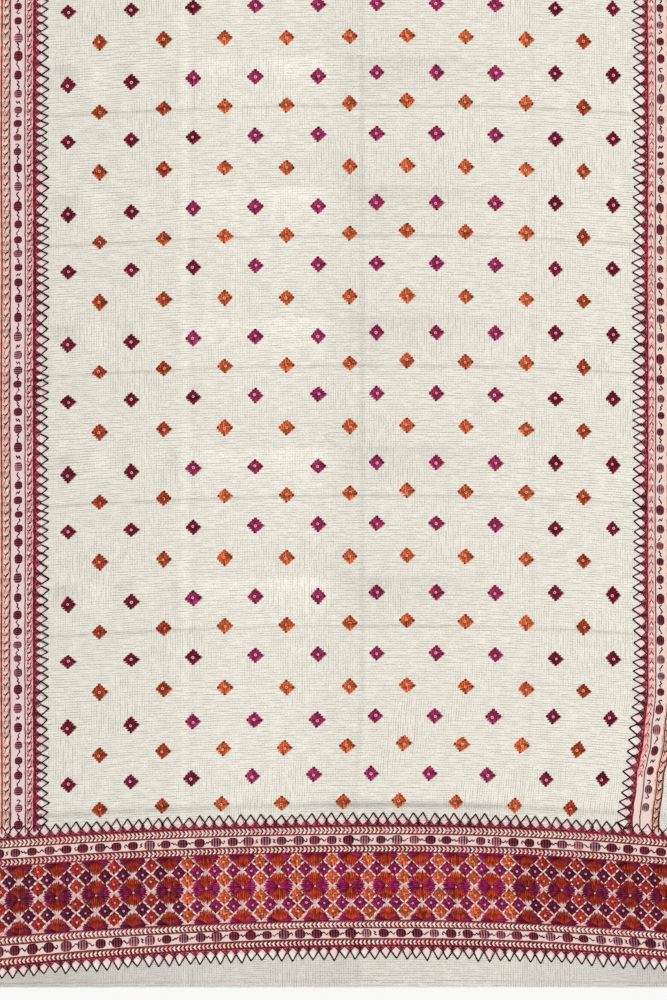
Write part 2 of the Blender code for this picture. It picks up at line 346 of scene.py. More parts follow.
def noiseNode(tree, vector, scale, detail=2.0, stretch=(1, 1, 1)):
    mapping = tree.nodes.new("ShaderNodeMapping")
    mapping.inputs["Scale"].default_value = stretch
    tree.links.new(vector, mapping.inputs["Vector"])
    noise = tree.nodes.new("ShaderNodeTexNoise")
    noise.inputs["Scale"].default_value = scale
    noise.inputs["Detail"].default_value = detail
    tree.links.new(mapping.outputs["Vector"], noise.inputs["Vector"])
    return noise.outputs["Fac"]


def rangeNode(tree, value, fromLow, fromHigh, toLow, toHigh):
    node = tree.nodes.new("ShaderNodeMapRange")
    numbers = {"From Min": fromLow, "From Max": fromHigh, "To Min": toLow, "To Max": toHigh}
    for name, number in numbers.items():
        node.inputs[name].default_value = number
    tree.links.new(value, node.inputs["Value"])
    return node.outputs["Result"]


# Noise spread over a span: scale, detail, where it begins and ends, and the values there
def patchy(tree, vector, scale, detail, fromLow, fromHigh, toLow, toHigh, stretch=(1, 1, 1)):
    noise = noiseNode(tree, vector, scale, detail, stretch)
    return rangeNode(tree, noise, fromLow, fromHigh, toLow, toHigh)


def mixColour(tree, share, one, other):
    node = tree.nodes.new("ShaderNodeMix")
    node.data_type = "RGBA"
    sockets = [socket for socket in node.inputs if socket.enabled]
    for socket, value in zip(sockets, (share, one, other)):
        feed(tree, socket, value)
    return [socket for socket in node.outputs if socket.enabled][0]


def scaleColour(tree, colour, tone):
    node = tree.nodes.new("ShaderNodeVectorMath")
    node.operation = "SCALE"
    tree.links.new(colour, node.inputs[0])
    feed(tree, node.inputs["Scale"], tone)
    return node.outputs[0]


def bumpInto(tree, shader, height, strength, distance):
    node = tree.nodes.new("ShaderNodeBump")
    node.inputs["Strength"].default_value = strength
    node.inputs["Distance"].default_value = distance
    tree.links.new(height, node.inputs["Height"])
    tree.links.new(node.outputs["Normal"], shader.inputs["Normal"])


# Cream open weave: doubled threads both ways that show in turn, fine threads between,
# slubs, blotches and painted shade in the folds
weave = {
    "light": "#f6f2e6",
    "warm": "#f7f2e6",
    "shade": "#8e8672",
    # crease: the colour of the painted shade in each fold line
    "crease": "#9b907c",
    "shadeShare": 0.66,
    "acrossPitch": 0.00335,
    "alongPitch": 0.00325,
    "finePitch": 0.0011,
    "fineDeep": 0.3,
    "wander": 3.2,
    "wanderScale": 22,
    "broken": (330, 1, 0.34, 0.60, 0.15, 1.0),
    "turns": (9, 2, 0.50, 0.62, 0.0, 1.0),
    "slub": (520, 1, 0.3, 0.7, 0.83, 1.12),
    "blotch": (75, 2, 0.3, 0.7, 0.975, 1.025),
    "shadeUneven": (18, 2, 0.35, 0.6, 0.35, 1.0),
    # where the painted shade of each fold line begins and ends, and how strong it is
    "foldShade": (0.0004, 0.0028, 0.26, 0.0),
}


def threadLines(tree, place, pitch, wander, broken):
    turn = times(tree, place, 2 * math.pi / pitch)
    turn = mathNode(tree, "ADD", turn, times(tree, wander, weave["wander"]))
    line = rangeNode(tree, mathNode(tree, "SINE", turn), 0.10, 0.95, 0.0, 1.0)
    return times(tree, line, broken)


# Painted shade in each fold line of the field, weaker in places
def paintFoldShade(tree, place, along):
    pitch = valleys["pitch"]
    first = mathNode(tree, "ADD", along, halfLength - valleys["start"] + pitch / 2)
    turn = mathNode(tree, "MODULO", mathNode(tree, "ADD", first, 10 * pitch), pitch)
    foldShaded = rangeNode(tree, offLine(tree, turn, pitch / 2), *weave["foldShade"])
    inField = rangeNode(tree, offLine(tree, along, 0.12), 0.86, 0.88, 1.0, 0.0)
    shadeUneven = patchy(tree, place, *weave["shadeUneven"])
    return times(tree, times(tree, foldShaded, inField), shadeUneven)


def clothMaterial(name):
    made, tree, shader = newMaterial(name)
    place = uvOf(tree, "cut")
    split = tree.nodes.new("ShaderNodeSeparateXYZ")
    tree.links.new(place, split.inputs[0])
    across, along = split.outputs[0], split.outputs[1]
    wander = noiseNode(tree, place, weave["wanderScale"], 2)
    warpBreak = patchy(tree, place, *weave["broken"], (1, 0.16, 1))
    weftBreak = patchy(tree, place, *weave["broken"], (0.16, 1, 1))
    warp = threadLines(tree, across, weave["acrossPitch"], wander, warpBreak)
    weft = threadLines(tree, along, weave["alongPitch"], wander, weftBreak)
    turns = patchy(tree, place, *weave["turns"])
    warp = times(tree, warp, rangeNode(tree, turns, 0.0, 1.0, 0.12, 0.78))
    weft = times(tree, weft, rangeNode(tree, turns, 0.0, 1.0, 0.86, 0.26))
    lines = mathNode(tree, "ADD", warp, weft, True)
    warmShare = rangeNode(tree, across, -0.02, 0.10, 0.0, 1.0)
    ground = mixColour(tree, warmShare, dye(weave["light"]), dye(weave["warm"]))
    colour = mixColour(tree, times(tree, lines, weave["shadeShare"]), ground, dye(weave["shade"]))
    uneven = times(tree, patchy(tree, place, *weave["slub"]), patchy(tree, place, *weave["blotch"]))
    # The painted light and shade of the folds and creases, and the darker ends, scale the colour
    colour = scaleColour(tree, colour, times(tree, uneven, attributeOf(tree, "paintedShadeAndTone", "Fac")))
    # Painted shade darkens each fold line of the field
    colour = mixColour(tree, paintFoldShade(tree, place, along), colour, dye(weave["crease"]))
    tree.links.new(colour, shader.inputs["Base Color"])
    setShader(shader, 0.9, 0.15, 0.05)
    fineTurn = 2 * math.pi / weave["finePitch"]
    fineWarp = mathNode(tree, "SINE", times(tree, across, fineTurn))
    fineWeft = mathNode(tree, "SINE", times(tree, along, fineTurn))
    fine = times(tree, times(tree, fineWarp, fineWeft), weave["fineDeep"])
    bumpInto(tree, shader, mathNode(tree, "SUBTRACT", fine, lines), 0.5, 0.0003)
    return made


# Floss takes its colour from each strand, with fine fibres along it
fibre = {"scale": 300, "stretch": (1, 12, 1), "strength": 0.4, "deep": 0.0002}


def flossMaterial(name, roughness, shine, uneven):
    made, tree, shader = newMaterial(name)
    colour = attributeOf(tree, "floss", "Color")
    fibres = noiseNode(tree, uvOf(tree, "thread"), fibre["scale"], 2, fibre["stretch"])
    tone = rangeNode(tree, fibres, 0.3, 0.7, 1 - uneven, 1 + uneven)
    tree.links.new(scaleColour(tree, colour, tone), shader.inputs["Base Color"])
    setShader(shader, roughness, shine)
    bumpInto(tree, shader, fibres, fibre["strength"], fibre["deep"])
    return made


# The pale tint of each sequin is its painted highlight and painted reflection
def sequinMaterial(name):
    made, tree, shader = newMaterial(name)
    tint = attributeOf(tree, "floss", "Color")
    tone = patchy(tree, uvOf(tree, "thread"), 2.5, 1, 0.3, 0.7, 0.75, 1.25)
    tree.links.new(scaleColour(tree, tint, tone), shader.inputs["Base Color"])
    setShader(shader, 0.25)
    return made


clothFinish = clothMaterial("cream_weave")
satinFinish = flossMaterial("satin_floss", 0.6, 0.12, 0.20)
cottonFinish = flossMaterial("cotton_thread", 0.85, 0.04, 0.14)
sequinFinish = sequinMaterial("sequin_foil")
print("stage: materials made")


def finishPiece(name, mesh, finish, nodes=()):
    mesh.materials.append(finish)
    mesh.shade_smooth()
    piece = bpy.data.objects.new(name, mesh)
    bpy.context.scene.collection.objects.link(piece)
    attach(piece, "root")
    if nodes:
        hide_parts(*nodes)
    return piece


# The shell's wall hangs below the laid face
def addWall(piece, thickness):
    wall = piece.modifiers.new("wall", "SOLIDIFY")
    wall.thickness = thickness
    wall.offset = -1
    return piece


# A grid of the cut with rows and columns where asked, moved to where it lies
def layGrid(name, uPlaces, vPlaces, height):
    bm = bmesh.new()
    uv = bm.loops.layers.uv.new("cut")
    bmesh.ops.create_grid(bm, x_segments=len(uPlaces) - 1, y_segments=len(vPlaces) - 1, size=1)
    for vert in bm.verts:
        column = (vert.co.x + 1) / 2 * (len(uPlaces) - 1)
        row = (vert.co.y + 1) / 2 * (len(vPlaces) - 1)
        vert.co.x = uPlaces[round(column)]
        vert.co.y = vPlaces[round(row)]
    for face in bm.faces:
        for loop in face.loops:
            loop[uv].uv = (loop.vert.co.x, loop.vert.co.y)
    mesh = bpy.data.meshes.new(name)
    bm.to_mesh(mesh)
    bm.free()
    flat = np.zeros(len(mesh.vertices) * 3)
    mesh.vertices.foreach_get("co", flat)
    flat = flat.reshape(-1, 3)
    u, v = flat[:, 0].copy(), flat[:, 1].copy()
    flat[:, 0], flat[:, 1] = lay(u, v)
    flat[:, 2] = surface(u, v) + height
    mesh.vertices.foreach_set("co", flat.ravel())
    # the painted light and shade, and the darker ends, as a tone at each point
    paintedShadeAndTone = mesh.attributes.new("paintedShadeAndTone", "FLOAT", "POINT")
    paintedShadeAndTone.data.foreach_set("value", clothShadeAndTone(u, v + halfLength))
    mesh.update()
    return mesh


# Places from low to high, closer together near each line, and one just inside each edge
def crowded(low, high, count, lines=(), reach=1.0, closeness=0.0):
    fine = np.linspace(low, high, 8000)
    density = np.ones_like(fine)
    for line in lines:
        density += closeness * bump(fine - line, reach)
    total = np.concatenate([[0], np.cumsum((density[1:] + density[:-1]) / 2)])
    places = np.interp(np.linspace(0, total[-1], count - 2), total, fine)
    return np.sort(np.concatenate([places, [low + 0.0006, high - 0.0006]]))


cloth = {"columns": 104, "rows": 310, "wall": 0.0005, "foldReach": 0.004, "lengthReach": 0.007}


def makeCloth():
    folds = [valleys["start"] + valleys["pitch"] * k for k in range(valleys["count"])]
    folds += [fold["fromHem"] for fold in lastFolds]
    foldLines = [fold - foldSlack - halfLength for fold in folds]
    foldLines += [crests["start"] + crests["pitch"] * k - halfLength for k in range(crests["count"])]
    foldLines += [-halfLength + hem["wide"], halfLength - hem["wide"]]
    rows = crowded(-halfLength, halfLength, cloth["rows"], foldLines, cloth["foldReach"], 6.0)
    lengthLines = [fold["u"] for fold in lengthFolds]
    columns = crowded(-halfWidth, halfWidth, cloth["columns"], lengthLines, cloth["lengthReach"], 4.0)
    mesh = layGrid("cloth", columns, rows, 0)
    return addWall(finishPiece("cloth", mesh, clothFinish, ["ground_cloth"]), cloth["wall"])


clothPiece = makeCloth()
print("stage: cloth laid")


# The points and faces of a small shape that is sewn on many times, in the same order each run
def shapeOf(bm):
    bmesh.ops.recalc_face_normals(bm, faces=bm.faces)
    verts = sorted(bm.verts, key=lambda vert: [round(part, 4) for part in vert.co])
    for index, vert in enumerate(verts):
        vert.index = index
    points = np.array([tuple(vert.co) for vert in verts])
    quads = []
    for face in bm.faces:
        corners = [vert.index for vert in face.verts]
        first = corners.index(min(corners))
        quads.append(corners[first:] + corners[:first])
    bm.free()
    return points, np.array(sorted(quads))


crownShare = 0.56  # a strand is this much narrower on top


# One strand along X from 0 to 1, a unit wide and a unit high, drawn out ring by ring
# through its stations: (along, wide, high)
def strandShape(*stations):
    bm = bmesh.new()
    bmesh.ops.create_grid(bm, x_segments=1, y_segments=1, size=0.5)
    lastWide, lastHigh = stations[0][1:]
    for vert in bm.verts:
        high = vert.co.x > 0
        across = vert.co.y * (crownShare if high else 1.0) * lastWide
        vert.co = Vector((0, across, lastHigh if high else 0.0))
    cap = bm.faces[:][0]
    for count, (at, wide, high) in enumerate(stations[1:]):
        drawn = bmesh.ops.extrude_face_region(bm, geom=[cap])
        verts = [part for part in drawn["geom"] if isinstance(part, bmesh.types.BMVert)]
        faces = [part for part in drawn["geom"] if isinstance(part, bmesh.types.BMFace)]
        if count:
            bmesh.ops.delete(bm, geom=[cap], context="FACES_ONLY")
        for vert in verts:
            vert.co.x = at
            vert.co.y *= wide / lastWide
            vert.co.z *= high / lastHigh
        cap = faces[0]
        lastWide, lastHigh = wide, high
    return shapeOf(bm)


shapes = {
    "stitch": strandShape((0, 0.6, 0.4), (0.5, 1, 1), (1, 0.6, 0.4)),
    "run": strandShape((0, 0.9, 0.8), (1, 0.9, 0.8)),
    "ray": strandShape((0, 0.7, 0.6), (0.74, 1, 1), (1, 0.15, 0.3)),
    "lozenge": strandShape((0, 0.05, 0.8), (0.5, 1, 1), (1, 0.05, 0.8)),
    "kite": strandShape((0, 0.05, 0.8), (0.43, 1, 1), (1, 0.05, 0.8)),
    "bud": strandShape((0, 0.5, 0.8), (0.25, 1, 1), (0.75, 1, 1), (1, 0.5, 0.8)),
}
clipHalf = 0.4856  # nothing is sewn past the selvage
creaseStep = 0.0016  # strands lie clear of a crease this near
sink = 0.0001


# A bundle collects strands on the flat cut before they are sewn as one piece, and its base
# is the height that they are sewn at
def newBundle(base=0.0):
    return {"base": base, "strands": {shape: [] for shape in shapes}}


def add(bundle, shape, start, end, wide, colour, endWide=None, rise=0.0006, base=None):
    endWide = wide if endWide is None else endWide
    base = bundle["base"] if base is None else base
    bundle["strands"][shape].append((*start, *end, wide, endWide, rise, base, *colour))


def joinQuads(name, points, quads, colours, uvs):
    mesh = bpy.data.meshes.new(name)
    mesh.vertices.add(len(points))
    mesh.vertices.foreach_set("co", points.ravel())
    mesh.loops.add(quads.size)
    mesh.loops.foreach_set("vertex_index", quads.ravel())
    mesh.polygons.add(len(quads))
    mesh.polygons.foreach_set("loop_start", np.arange(0, quads.size, 4))
    mesh.update(calc_edges=True)
    layer = mesh.uv_layers.new(name="thread")
    layer.data.foreach_set("uv", uvs[quads.ravel()].ravel())
    tint = mesh.color_attributes.new("floss", "FLOAT_COLOR", "POINT")
    tint.data.foreach_set("color", np.hstack([colours, np.ones((len(colours), 1))]).ravel())
    mesh.validate()
    return mesh


# The same faces for each copy of a shape
def copyFaces(quads, copies, points):
    return (quads[None] + (np.arange(copies) * len(points))[:, None, None]).reshape(-1, 4)


def placeStrands(shape, rows):
    points, quads = shapes[shape]
    rows = np.array(rows)
    start, end = rows[:, 0:2], rows[:, 2:4]
    along = end - start
    length = np.linalg.norm(along, axis=1)
    side = np.stack([-along[:, 1], along[:, 0]], axis=1) / length[:, None]
    t = points[None, :, 0]
    off = points[None, :, 1] * (rows[:, 4, None] * (1 - t) + rows[:, 5, None] * t)
    u = start[:, 0, None] + along[:, 0, None] * t + side[:, 0, None] * off
    v = start[:, 1, None] + along[:, 1, None] * t + side[:, 1, None] * off
    u = np.clip(u, -clipHalf, clipHalf)
    x, y = lay(u, v)
    top = np.maximum.reduce([surface(u, v + step) for step in (-creaseStep, 0, creaseStep)])
    z = top + rows[:, 7, None] + points[None, :, 2] * rows[:, 6, None] - sink
    shift = np.arange(len(rows))[:, None] * 0.37
    placed = np.stack([x, y, z], axis=2).reshape(-1, 3)
    uvs = np.stack([t * length[:, None] + shift, off + shift], axis=2).reshape(-1, 2)
    faces = copyFaces(quads, len(rows), points)
    return placed, faces, np.repeat(rows[:, 8:11], len(points), axis=0), uvs


def sewBundle(name, bundle, finish):
    parts = [placeStrands(shape, rows) for shape, rows in bundle["strands"].items() if rows]
    starts = np.cumsum([0] + [len(part[0]) for part in parts])
    faces = [part[1] + start for part, start in zip(parts, starts)]
    points, colours, uvs = (np.concatenate([part[i] for part in parts]) for i in (0, 2, 3))
    mesh = joinQuads(name, points, np.concatenate(faces), colours, uvs)
    finishPiece(name, mesh, finish)
    count = sum(len(rows) for rows in bundle["strands"].values())
    print(f"stage: {name} sewn, {count} strands, {2 * len(mesh.polygons)} triangles")


# Lozenge flowers: magenta rows on whole columns and orange rows between them
lozenge = {
    "wide": 0.0107,
    "tall": 0.0109,
    "strands": 4,
    "rise": 0.0007,
    "columnStart": -0.3784,
    "columnPitch": 0.0885,
    "columnDraw": 0.00042,
    "columns": 10,
    "firstRow": 0.2590,
    "nearPitch": 0.0403,
    "nearRows": 4,
    "evenStart": 0.4165,
    "rowPitch": 0.04545,
    "rowSway": 0.0056,
    "narrow": {"from": 0.24, "reach": 0.12, "wide": -0.0010, "tall": 0.0005},  # on the right
    "crimson": {"middle": 0.040, "from": 0.235, "to": 0.270},
    "bleedOut": 1.2,  # the dye that has run into the cloth round a flower
    "bleedBridge": 0.0003,
}
lozengeDyes = {
    "magenta": {"middle": "#a02859", "side": "#6e0f26", "tip": "#4e0c22", "bleed": "#ecc6cc"},
    "orange": {"middle": "#d25e34", "side": "#a83c1f", "tip": "#6e2410", "bleed": "#efd2c4"},
}
# How far each column sits across from its even place, and along in its two rows
handSet = table(
    "across along",
    (0.0000, (-0.0034, -0.0025)), (0.0000, (0.0000, -0.0028)), (0.0005, (-0.0034, -0.0034)),
    (0.0021, (0.0014, -0.0018)), (0.0000, (-0.0021, -0.0026)), (0.0008, (0.0014, -0.0018)),
    (0.0005, (-0.0014, -0.0032)), (0.0014, (0.0000, -0.0028)), (0.0029, (-0.0007, -0.0046)),
    (0.0046, (0.0010, -0.0014)), (0.0000, (0.0000, 0.0000)), (0.0003, (0.0022, 0.0022)),
    (-0.0004, (0.0003, 0.0000)), (-0.0010, (0.0011, 0.0011)), (-0.0008, (-0.0003, 0.0000)),
    (0.0010, (-0.0014, 0.0018)), (0.0011, (-0.0026, 0.0019)), (-0.0004, (-0.0014, -0.0004)),
    (0.0004, (0.0024, 0.0020)),
)


# From 0 in the middle of the width to 1 at both sides, where the dyes are darker
def outerShare(u, span):
    return float(eased((abs(u - span["middle"]) - span["from"]) / (span["to"] - span["from"])))


# One column changes to crimson floss in every other row
crimsonColumn = 2
crimsonSpots = []


def lozengePlaces():
    rows = [lozenge["firstRow"] + lozenge["nearPitch"] * i for i in range(lozenge["nearRows"])]
    far = 2 * halfLength - lozenge["firstRow"] + lozenge["rowSway"]
    j = 0
    while lozenge["evenStart"] + lozenge["rowPitch"] * j < far:
        sway = lozenge["rowSway"] * math.sin(math.pi * ((3 - j) % 4) / 4)
        rows.append(lozenge["evenStart"] + lozenge["rowPitch"] * j + sway)
        j += 1
    places = {"magenta": [], "orange": []}
    for index, fromHem in enumerate(rows):
        kind = "orange" if index % 2 == 0 else "magenta"
        for k in range(lozenge["columns"] - (kind == "orange")):
            column = k + 0.5 * (kind == "orange")
            u = lozenge["columnStart"] + lozenge["columnPitch"] * column
            u -= lozenge["columnDraw"] * column**2
            shift = handSet[round(2 * column)]
            v = fromHem + shift["along"][index // 2 % 2] - halfLength
            places[kind].append((u + shift["across"], v))
            if k == crimsonColumn and kind == "magenta" and index // 2 % 2 == 0:
                crimsonSpots.append(places[kind][-1])
    return places


# Four quarters of satin stitch over a padding, each quarter turned from the next
satin = {
    "lean": 0.07,
    "padOut": 1.03,
    "padTone": 0.42,
    "padRise": 0.6,
    "overlap": 0.10,
    "thick": 1.24,
    "tones": (0.60, 1.50),
    "tipShare": 0.6,
}


def sewLozenge(bundle, place, u, v, wide, tall, facts, colour, tip, draw):
    lean = draw.uniform(-satin["lean"], satin["lean"])
    padOut = satin["padOut"]
    ends = (place(u - padOut * wide, v), place(u + padOut * wide, v))
    rise = facts["rise"] * satin["padRise"]
    add(bundle, "lozenge", *ends, 2 * padOut * tall, colour * satin["padTone"], rise=rise)
    for quarter in range(4):
        right = 1 if quarter in (0, 3) else -1
        up = 1 if quarter in (0, 1) else -1
        flatRun = quarter % 2 == 0
        for i in range(facts["strands"]):
            out = (i + 0.5) / facts["strands"]
            reach = (1 - out**1.3) * draw.uniform(0.93, 1.07) + 0.03
            # Flat-run quarters are painted darker and upright quarters lighter: painted satin sheen, as
            # stitches laid each way catch the light differently
            shade = colour * draw.uniform(*satin["tones"]) * (0.86 if flatRun else 1.08)
            if i == facts["strands"] - 1 and draw.uniform() < satin["tipShare"]:
                shade = tip
            if flatRun:
                ends = [(-satin["overlap"] * right, up * out), (right * reach, up * out)]
            else:
                ends = [(right * out, -satin["overlap"] * up), (right * out, up * reach)]
            points = [place(u + (a + lean * b) * wide, v + (b - lean * a) * tall) for a, b in ends]
            thick = (tall if flatRun else wide) / facts["strands"] * satin["thick"]
            add(bundle, "stitch", *points, thick, shade, rise=facts["rise"])


def plainPlace(u, v):
    return (u, v)


# How far a flat lozenge would bridge over a crease
def bridgeOver(u, v, wide, tall):
    corners = surface(np.array([u - wide, u + wide, u, u]), np.array([v, v, v - tall, v + tall]))
    return max(0.0, float(corners.max() - surface(np.array(u), np.array(v))))


lozengeSpots = lozengePlaces()
for index, (kind, facts) in enumerate(lozengeDyes.items()):
    bundle = newBundle()
    draw = np.random.default_rng(11 + index)
    out, narrow = lozenge["bleedOut"], lozenge["narrow"]
    for u, v in lozengeSpots[kind]:
        share = 1.0 if (u, v) in crimsonSpots else outerShare(u, lozenge["crimson"])
        colour = blendDye(facts["middle"], facts["side"], share + draw.uniform(-0.2, 0.2))
        drawnIn = float(eased((u - narrow["from"]) / narrow["reach"]))
        wide = (lozenge["wide"] + narrow["wide"] * drawnIn) * draw.uniform(0.94, 1.05)
        tall = (lozenge["tall"] + narrow["tall"] * drawnIn) * draw.uniform(0.94, 1.05)
        if bridgeOver(u, v, out * wide, out * tall) < lozenge["bleedBridge"]:
            ends = ((u - out * wide, v), (u + out * wide, v))
            add(bundle, "lozenge", *ends, 2 * out * tall, dye(facts["bleed"]), rise=0.0002)
        sewLozenge(bundle, plainPlace, u, v, wide, tall, lozenge, colour, dye(facts["tip"]), draw)
    sewBundle(kind + "_lozenges", bundle, satinFinish)


# Sequins: a cupped ring, at each lozenge and diamond
sequin = {
    "radius": 0.0019,
    "bandRadius": 0.0014,
    "lift": 0.0009,
    "bandLift": 0.0010,
    "wander": 0.0013,
    "tilt": 0.2,
    "eye": 0.50,
    "cup": 0.2,
    "wall": 0.12,
    # the painted highlight and painted reflection of the band's sequins
    "bandGlint": "#ffdfe6",
}
# Pale tints that paint each sequin's highlight and the floss it reflects: painted highlight and painted
# reflection
sequinGlints = {"magenta": "#ffccd8", "orange": "#ffc4a0"}


def sequinShape():
    bm = bmesh.new()
    bmesh.ops.create_circle(bm, segments=8, radius=1)
    drawn = bmesh.ops.extrude_edge_only(bm, edges=bm.edges[:])
    verts = [part for part in drawn["geom"] if isinstance(part, bmesh.types.BMVert)]
    bmesh.ops.scale(bm, verts=verts, vec=(sequin["eye"], sequin["eye"], 1))
    bmesh.ops.translate(bm, verts=verts, vec=(0, 0, -sequin["cup"]))
    bmesh.ops.solidify(bm, geom=bm.faces[:], thickness=sequin["wall"])
    return shapeOf(bm)


sequinRing = sequinShape()


def sewSequins(name, spots, radius, lift, tint, seed):
    points, quads = sequinRing
    draw = np.random.default_rng(seed)
    placed = []
    for u, v in spots:
        size = radius * draw.uniform(0.85, 1.12)
        turn = draw.uniform(0, 6.28)
        lean = draw.uniform(-sequin["tilt"], sequin["tilt"], 2)
        u, v = np.array([u, v]) + draw.uniform(-sequin["wander"], sequin["wander"], 2)
        x, y = lay(np.array(u), np.array(v))
        z = surface(np.array(u), np.array(v)) + lift
        c, s = math.cos(turn), math.sin(turn)
        flat = points[:, :2] @ np.array([[c, s], [-s, c]])
        up = points[:, 2] + flat[:, 0] * lean[0] + flat[:, 1] * lean[1]
        placed.append(np.stack([x + flat[:, 0] * size, y + flat[:, 1] * size, z + up * size], axis=1))
    count = len(placed)
    placed = np.concatenate(placed)
    uvs = np.tile(points[:, :2], (count, 1)) + np.repeat(np.arange(count) * 0.61, len(points))[:, None]
    mesh = joinQuads(name, placed, copyFaces(quads, count, points), np.ones_like(placed) * dye(tint), uvs)
    finishPiece(name, mesh, sequinFinish)
    print(f"stage: {name} sewn, {count} sequins")


for kind, tint in sequinGlints.items():
    sewSequins(kind + "_sequins", lozengeSpots[kind], sequin["radius"], sequin["lift"], tint, 21)

# The ground of each braid and band: a thin strip of close pale stitching on the cloth
stripWall = 0.0003
stripStep = 0.012
stripPieces = {
    "left_braid": {"sides": (-0.4725, -0.4176), "colour": "#f3d0cf"},
    "right_braid": {"sides": (0.4248, 0.4725), "colour": "#f7dcd2"},
    "inner_braid": {"fromHem": (0.1892, 0.2338), "colour": "#f6d2cb"},
    "flower_band": {"fromHem": (0.0939, 0.1888), "colour": "#dcb0ae"},
    "outer_braid": {"fromHem": (0.0511, 0.0935), "colour": "#f6d2cb"},
}
stripSoil = "#e8ddd0"
bandHalf = 0.4860
braidEnd = halfLength - 0.2342


def stripMaterial(name, code):
    made, tree, shader = newMaterial(name)
    place = uvOf(tree, "cut")
    fibres = noiseNode(tree, place, 500, 3)
    tone = rangeNode(tree, fibres, 0.3, 0.7, 0.0, 1.0)
    colour = mixColour(tree, tone, dye(code) * 0.84, dye(code) * 1.06)
    colour = mixColour(tree, patchy(tree, place, 60, 2, 0.35, 0.65, 0.0, 0.45), colour, dye(stripSoil))
    tree.links.new(colour, shader.inputs["Base Color"])
    setShader(shader, 0.85, 0.15)
    bumpInto(tree, shader, fibres, 0.4, 0.0003)
    return made


def makeStrip(end, strip, uRange, vRange, finish):
    spans = [crowded(low, high, max(5, round((high - low) / stripStep))) for low, high in (uRange, vRange)]
    name = end + strip
    mesh = layGrid(name + "_ground", *spans, stripWall)
    addWall(finishPiece(name + "_ground", mesh, finish, [name]), stripWall)


for strip, facts in stripPieces.items():
    finish = stripMaterial(strip + "_ground", facts["colour"])
    if "sides" in facts:
        makeStrip("", strip, facts["sides"], (-braidEnd, braidEnd), finish)
        continue
    low, high = (edge - halfLength for edge in facts["fromHem"])
    makeStrip("near_", strip, (-bandHalf, bandHalf), (low, high), finish)
    makeStrip("far_", strip, (-bandHalf, bandHalf), (-high, -low), finish)
print("stage: braid grounds laid")


# Stitches on a band are drawn as (along the band, across it), then set at the near end,
# the far end or a side
def endPlace(toward):
    return lambda along, across: (along, toward * (across - halfLength))


def sidePlace(along, across):
    return (across, along)


flower = {
    "pitch": 0.05132,
    "draw": 0.000143,
    "start": 0.0267,
    "eachSide": 9,
    "middle": 0.1428,
    "wide": 0.0212,
    "tall": 0.0205,
    "petalHalf": 0.0122,
    "stitches": 10,
    "rays": 26,
    "edgeRays": 14,
    "edgeWide": 0.0216,
    "edgeTall": 0.0198,
    "edgeStitches": 4,
    "edgeInner": 0.0030,
    "edgeSpread": 0.0075,
    "edgeClimb": 0.0105,
    "edgeLift": 0.0012,
    "edgeThick": 0.0032,
    "taper": 0.52,
    "round": 0.42,
    "ragged": (0.95, 1.03),
    "foot": 0.84,
    "flare": 0.52,
    "rise": 0.0009,
    "outer": {"middle": 0.0255, "from": 0.232, "to": 0.252},
    "orange": "#bc3c1e",
    "orangeOuter": "#9c2c1a",
    "magenta": "#a01a56",
    "magentaOuter": "#781238",
}
diamond = {
    "wide": 0.0104,
    "tall": 0.0107,
    "strands": 3,
    "rise": 0.0008,
    "orange": "#d05c30",
    "orangeOuter": "#a82a20",
    "magenta": "#901a4e",
    "magentaOuter": "#5e0c2a",
    "tip": "#420c1e",
}
# One repeat: how far along to the next flower, and how far across the band from the middle
diamondPlaces = table(
    "share across dye",
    (0.500, 0.0358, "orange"), (0.500, 0.0122, "orange"), (0.500, -0.0122, "orange"),
    (0.500, -0.0358, "orange"), (0.253, 0.0240, "magenta"), (0.747, 0.0240, "magenta"),
    (0.253, -0.0240, "magenta"), (0.747, -0.0240, "magenta"),
)
lattice = {"wide": 0.0017, "rise": 0.0010, "out": 1.10, "jog": 0.0005, "colour": "#ffe4e2"}
fan = {"wide": 0.0007, "flare": 1.5, "rise": 0.5, "orangeAbove": 0.68, "tones": (0.25, 0.6)}
floss = {"darkShare": 0.12, "darkTone": 0.42, "tones": (0.68, 1.42)}


def flowerPlace(i):
    return flower["start"] + flower["pitch"] * i - flower["draw"] * i * i


def flossShade(colour, draw):
    if draw.uniform() < floss["darkShare"]:
        return colour * floss["darkTone"]
    return colour * draw.uniform(*floss["tones"])


# A petal: close stitches side by side, from the diagonals out, over a dark fan
def sewPetal(bundle, place, u, across, way, share, long, half, start, draw):
    forward, sideways = way["toward"]
    for i in range(flower["stitches"]):
        off = -1 + (2 * i + 1) / flower["stitches"]
        inner = start * abs(off) * half + 0.0004
        outer = long * (1 - flower["round"] * off * off)
        outer = outer * flower["ragged"][i % 2] * draw.uniform(0.94, 1.06)
        middle = inner + (outer - inner) * draw.uniform(0.40, 0.62)
        wide = 2 * half / flower["stitches"]
        for shape, a, b, thick in (("run", inner, middle, 1.05), ("ray", middle * 0.97, outer, 1.25)):
            codes = (flower[way["dye"]], flower[way["dye"] + "Outer"])
            colour = blendDye(*codes, share + draw.uniform(-0.2, 0.2))
            ends = []
            for reach in (a, b):
                spread = off * half * (flower["foot"] + flower["flare"] * reach / long)
                along = u + forward[0] * reach + sideways[0] * spread
                ends.append(place(along, across + forward[1] * reach + sideways[1] * spread))
            add(bundle, shape, *ends, wide * thick, flossShade(colour, draw), rise=flower["rise"])


